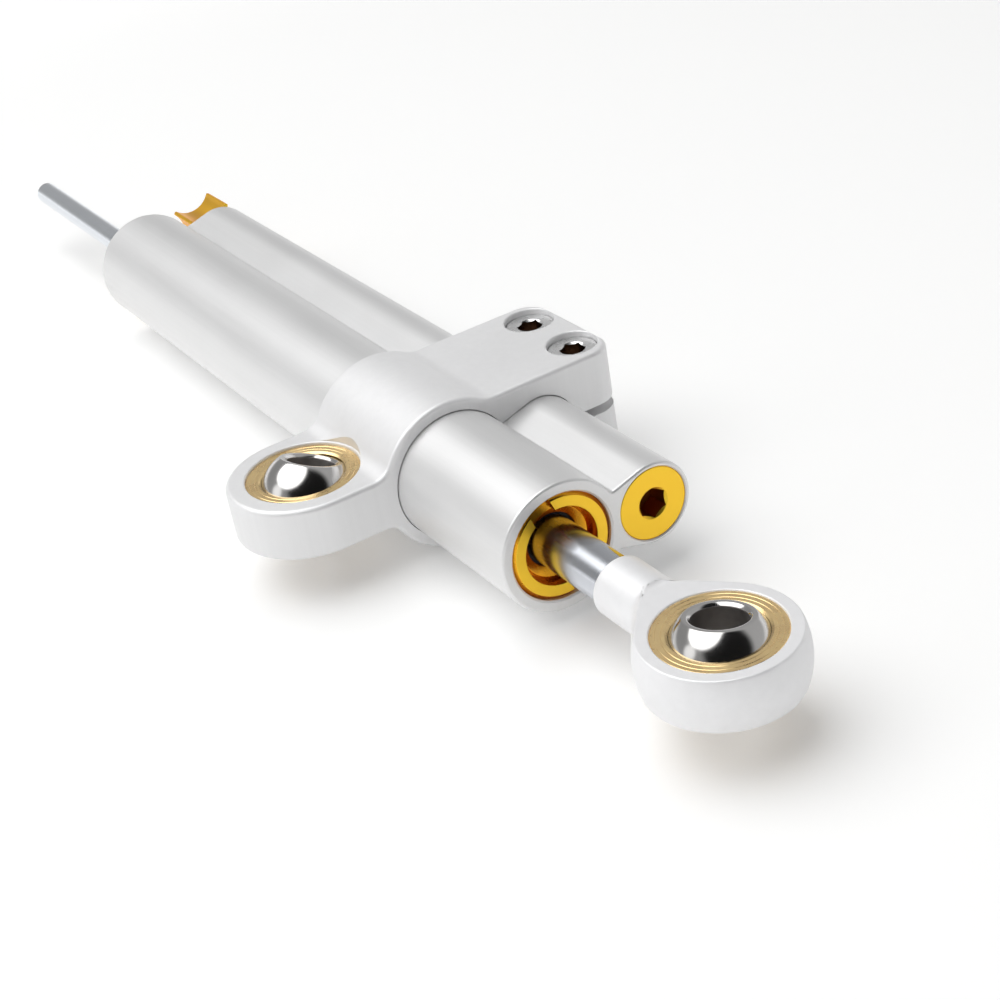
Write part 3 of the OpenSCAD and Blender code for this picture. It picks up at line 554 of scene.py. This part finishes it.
def make_bearing(tag, place, tilt, race_body, ball_body, race_node, ball_node):
    """A race with two fine grooves in each face, and its ball, tilted in it."""
    inner, mouth = 8.0, 3.813           # the race's hollow, and where it meets the faces
    ball_r, half = 7.95, 6.0
    low = math.degrees(math.asin(mouth / inner))
    face = [(RACE_R, 3.98), (9.48, 4.1), (9.0, 4.1), (8.93, 4.05), (8.83, 4.05), (8.76, 4.1),
            (8.15, 4.1), (8.08, 4.05), (7.98, 4.05), (7.91, 4.1), (7.42, 4.1), (7.3, 4.0)]
    loop = face + arc(0, 0, inner, low, -low, 28) + [(r, -z) for r, z in face[::-1]]
    race = turned("race_" + tag, loop, 120, place)
    finish_piece(race, race_body, "race_brass", race_node)

    edge = math.degrees(math.asin(half / ball_r))
    chamfer = 0.5
    loop = [(4.5, -half)] + arc(0, 0, ball_r, -edge, edge, 40)
    loop += [(4.5, half), (BORE_R, half - chamfer), (BORE_R, chamfer - half)]
    ball = turned("ball_" + tag, loop, 120, place @ tilt)
    bevel(ball, 0.1, steps=2)
    finish_piece(ball, ball_body, "ball_steel", ball_node)
    axis = (tilt.to_3x3() @ Vector((0, 0, 1))).normalized()
    centre = place.translation * MM

    def in_hole(face):
        out = face.center - centre
        return (out - axis * out.dot(axis)).length < (BORE_R + 0.05) * MM
    # The bore is painted a darker grey than the ball as painted shade, and made rougher as a
    # ground bore is
    paint(ball, ROUGH_SHADE_PAINTED_HOLE, in_hole)


# Rods and rod end

def make_front_rod():
    """The chromed rod, stepped down at both ends for its studs."""
    profile = [(0, -60.5, 0), (3, -60.5, 0.4), (3, -41.5, 0), (4, -41.5, 0.2),
               (4, 59.2, 0.2), (3, 59.2, 0), (3, 70.2, 0.4), (0, 70.2, 0)]
    rod = lathe("chrome_rod", profile, at(0, MAIN_Y, 0, ALONG), 96, 4)
    finish_piece(rod, "rod", "chrome_rod", "piston_rod")


def from_eye(p):
    """A point's distance in plan from the eye's axis."""
    return math.hypot(p.x - EYE_X, p.y - MAIN_Y)


def merge_near_rim(obj, height, reach):
    """Draws points close under the rim of the eye's flats onto it, which leaves room for the
    rim's bevel."""
    bm = bmesh.new()
    bm.from_mesh(obj.data)
    level = 0.002                       # how near a point of the rim is to its height

    def outside(low, high):
        return [v for v in bm.verts if low < abs(v.co.z) < high and from_eye(v.co) > 10.8]
    bmesh.ops.remove_doubles(bm, verts=outside(height - level, height + level), dist=0.2)
    rim = outside(height - level, height + level)
    target = {}
    for v in outside(height - reach, height - level):
        nearest = min(rim, key=lambda w: (w.co - v.co).length)
        if (nearest.co - v.co).length < 1.2 * reach:
            target[v] = nearest
    bmesh.ops.weld_verts(bm, targetmap=target)
    bmesh.ops.dissolve_degenerate(bm, edges=bm.edges, dist=THIN)
    bm.to_mesh(obj.data)
    bm.free()


def make_rod_end():
    """The rod end: turned as a neck, a taper and a ball, with two flats milled on its eye."""
    eye, neck, flat = 12.395, 4.85, 4.3
    start, bend = -24.1, -14.4          # the neck's end and where its taper starts
    touch = 180 - math.degrees(math.atan2(neck, -bend))
    touch -= math.degrees(math.acos(eye / math.hypot(-bend, neck)))
    ball = arc(0, 0, eye, 90 - touch, 90, 80)
    shoulder = rounded([(0, start, 0), (neck, start, 0.4), (neck, bend, 3.0), (*ball[0], 0)], 6)
    part = turned("turned_rod_end", shoulder[:-1] + ball, 144, at(EYE_X, MAIN_Y, 0, ALONG))
    for side in (-1, 1):
        # A milled flat that ends in a fillet, outside the eye, where it runs up to the neck
        cutter = [(0, flat)] + arc(13.95, 6.5, 2.2, 270, 360, 12) + [(16.15, 20), (0, 20)]
        cutter = [(r, side * z) for r, z in cutter]
        combine(part, turned("flat", cutter, 160, at(EYE_X, MAIN_Y)))
    bore = [(0, -20), (9.9, -20), (9.9, -flat)] + arc(9.9, -4.0, 0.3, 270, 180, 3)
    bore += arc(9.9, 4.0, 0.3, 180, 90, 3) + [(9.9, 20), (0, 20)]
    combine(part, turned("eye_bore", bore, 120, at(EYE_X, MAIN_Y)))
    stud = [(0, -1), (3, -1), (3, 12), (0, 12)]
    combine(part, turned("stud_hole", stud, 48, at(59.2, MAIN_Y, 0, ALONG)))
    clean(part, 0.05)
    merge_near_rim(part, flat, 0.4)

    def on_rim(p):
        return 4.28 < abs(p.z) < 4.9 and 11 < from_eye(p) < 15.5
    bevel(part, 0.22, on_rim, steps=3, sharp=24)
    clean(part, 0)
    finish_piece(part, "rod", "blasted_steel", "rod_end")


# Knob

def knob_outline(inset):
    """The knob's five lobes, drawn in by an inset: scallop, rounded corner, lobe, rounded
    corner."""
    count, lobe, scallop, away, corner = 5, 7.5, 5.0, 9.25, 0.3
    pitch, offset = 360 // count, -11   # degrees
    reach = lobe - corner
    half = math.degrees(math.acos((reach ** 2 + away ** 2 - (scallop + corner) ** 2)
                                  / (2 * reach * away)))
    x, y = polar(reach, half)
    side = Vector((x - away, y))        # from the scallop's centre to the corner's
    swing = math.degrees(math.atan2(side.y, side.x))
    out = []
    for k in range(count):
        a = pitch * k + offset
        first, last = a + half, a + pitch - half
        out += arc(*polar(away, a), scallop + inset, a - swing, a + swing - 360, 24)
        out += arc(*polar(reach, first), corner - inset, a + swing - 180, first, 5)[1:]
        out += arc(0, 0, lobe - inset, first, last, 2)[1:]
        out += arc(*polar(reach, last), corner - inset, last, a + pitch + 180 - swing, 5)[1:-1]
    return out


def make_knob():
    """The adjuster's knob: scalloped, with rounded rims, a dished face, a hub and a hole."""
    place = at(REAR, MAIN_Y + SIDE, 0, BACK)
    # Insets and heights: each rim's radius, and where its rounding meets the lobes
    low_r, low, high_r, high = 0.2, 0.5, 0.29, 10.01
    steps = [(low_r * (1 - math.cos(t)), low - low_r * math.sin(t))
             for t in (1.5, 1.0, 0.5, 0.0)]
    steps += [(high_r * (1 - math.cos(t)), high + high_r * math.sin(t))
              for t in (0.0, 0.4, 0.8, 1.2, 1.57)]
    bm = bmesh.new()
    join_rings(bm, [[bm.verts.new((x, y, z)) for x, y in knob_outline(inset)]
                    for inset, z in steps])
    knob = to_object("click_knob", bm, place)
    dish = [(0, 9.5), (2.0, 9.5), (2.9, 10.4), (0, 10.4)]
    combine(knob, turned("dish", dish, 120, place))
    hub = [(0, -6, 0), (3, -6, 0.3), (3, -5.2, 0), (2.5, -5.2, 0), (2.5, -4.4, 0),
           (3, -4.4, 0), (3, 0.3, 0), (5.7, 0.3, 0.15), (5.7, 1.7, 0.1), (0, 1.7, 0)]
    combine(knob, lathe("hub", hub, place, 120, 3), "UNION")
    hole = [(0, -8), (1.55, -8), (1.55, 6.5), (0, 6.5)]
    combine(knob, turned("hole", hole, 120, place))
    clean(knob, 0)
    finish_piece(knob, "knob", "gold_anodised", "knob")


make_clamp()
make_barrels()
nut_in, nut_turn = 0.3, Matrix.Rotation(math.radians(20), 4, "Z")
make_nut("ring_nut_front", at(FRONT - nut_in, MAIN_Y, 0, ALONG) @ nut_turn, "front_nut")
make_nut("ring_nut_rear", at(REAR + nut_in, MAIN_Y, 0, BACK) @ nut_turn, "rear_nut")
make_gland("seal_carrier_front", at(FRONT, MAIN_Y, 0, ALONG), 8, 32, "front_gland")
make_gland("seal_carrier_rear", at(REAR, MAIN_Y, 0, BACK), 5, 21, "rear_gland")
make_plug()
make_screws()
make_bearing("clamp", at(), lean(23.5, 107), "clamp", "clamp_ball", "clamp_race", "clamp_ball")
make_bearing("rod_end", at(EYE_X, MAIN_Y), lean(10, 131), "rod", "rod_ball", "rod_end_race",
             "rod_end_ball")
make_front_rod()
make_rod_end()
make_knob()


# Camera, as fitted to the photograph

camera = bpy.data.objects.new("camera", bpy.data.cameras.new("camera"))
scene.collection.objects.link(camera)
right, up = (0.52907, 0.83465, -0.15311), (-0.36151, 0.38493, 0.8492)
back = (0.76772, -0.39393, 0.50539)
stand = Matrix.Translation((0.26041, -0.09875, 0.15471))
camera.matrix_world = stand @ Matrix((right, up, back)).transposed().to_4x4()
camera.data.lens = 69.23
camera.data.sensor_width = 36.0
camera.data.clip_start, camera.data.clip_end = 0.01, 20.0
scene.camera = camera


# Floor, lamps and backdrop

WHITE = (1, 1, 1, 1)


def floor_look():
    """Pale and plain, and turning into the white backdrop away from the object."""
    mat = bpy.data.materials.new("pale_floor")
    mat.use_nodes = True
    nt = mat.node_tree
    path = add(nt, "LightPath", {}).node.outputs
    shown = add(nt, "Math", {0: path["Is Camera Ray"], 1: path["Is Glossy Ray"]},
                operation="MAXIMUM")
    shown = add(nt, "Math", {0: shown, 1: path["Is Transmission Ray"]}, operation="MAXIMUM")
    where = add(nt, "TexCoord", {}, "Object")
    away = add(nt, "VectorMath", {0: where}, "Value", operation="LENGTH")
    whiter = smooth_step(nt, away, 0.3, 1.1, 0.15, 1.0)
    level = add(nt, "Math", {0: shown, 1: whiter}, operation="MULTIPLY")
    feed(nt, nt.nodes["Principled BSDF"], {
        "Base Color": (0.93, 0.93, 0.925, 1), "Roughness": 0.45, "Specular IOR Level": 0.35,
        "Emission Color": WHITE, "Emission Strength": level})
    return mat


floor_mesh = bmesh.new()
bmesh.ops.create_circle(floor_mesh, cap_ends=True, segments=96, radius=4000)
floor = to_object("floor", floor_mesh, at(0, 0, -13.16))
floor.data.transform(Matrix.Scale(MM, 4))
floor.data.materials.append(floor_look())


def lamp(name, place, target, size, power, mirrored=True):
    """A round soft lamp; one that isn't mirrored stays out of the reflections."""
    data = bpy.data.lights.new(name, "AREA")
    data.shape, data.size = "DISK", size
    data.energy = power
    obj = bpy.data.objects.new(name, data)
    scene.collection.objects.link(obj)
    obj.location = place
    obj.rotation_mode = "QUATERNION"
    obj.rotation_quaternion = (Vector(target) - Vector(place)).to_track_quat("-Z", "Y")
    obj.visible_camera = False
    obj.visible_glossy = mirrored


lamp("key", (-0.52, -0.81, 1.49), (-0.52, -0.81, 0), 2.4, 31.5)
lamp("fill", (1.1, -0.5, 0.3), (0, 0.02, 0), 1.2, 3.0, mirrored=False)

world = bpy.data.worlds.new("studio")
world.use_nodes = True
scene.world = world
sky = world.node_tree
direction = add(sky, "TexCoord", {}, "Generated")


def facing(towards, low, high, start, end):
    """A grey level that goes from start to end as a direction turns towards the given one."""
    dot = add(sky, "VectorMath", {0: direction, 1: Vector(towards).normalized()}, "Value",
              operation="DOT_PRODUCT")
    return smooth_step(sky, dot, low, high, start, end)


# The studio, as the object mirrors it: a lighter wall on the right than on the left, dark where
# the camera stands, a lit panel on the left, and the white table up to the horizon
walls = facing((0.5, 0.866, 0.0), -0.6, 0.7, 0.36, 0.54)
dark = facing((0.718, -0.192, 0.669), 0.52, 0.74, 1.0, 0.02)
panel = facing((-0.33, -0.87, 0.37), 0.955, 0.99, 0.0, 1.0)
table = facing((0, 0, 1), 0.06, 0.2, 0.95, 0.0)
room = add(sky, "Math", {0: walls, 1: dark}, operation="MULTIPLY")
room = add(sky, "Math", {0: room, 1: panel}, operation="ADD")
room = add(sky, "Math", {0: room, 1: table}, operation="MAXIMUM")
feed(sky, sky.nodes["Background"], {"Color": WHITE, "Strength": room})
white = add(sky, "Background", {"Color": WHITE, "Strength": 1.0})
seen = add(sky, "LightPath", {}, "Is Camera Ray")
mix = add(sky, "MixShader", {"Fac": seen, 1: sky.nodes["Background"].outputs[0], 2: white})
feed(sky, sky.nodes["World Output"], {"Surface": mix})

scene.view_settings.view_transform = "Standard"
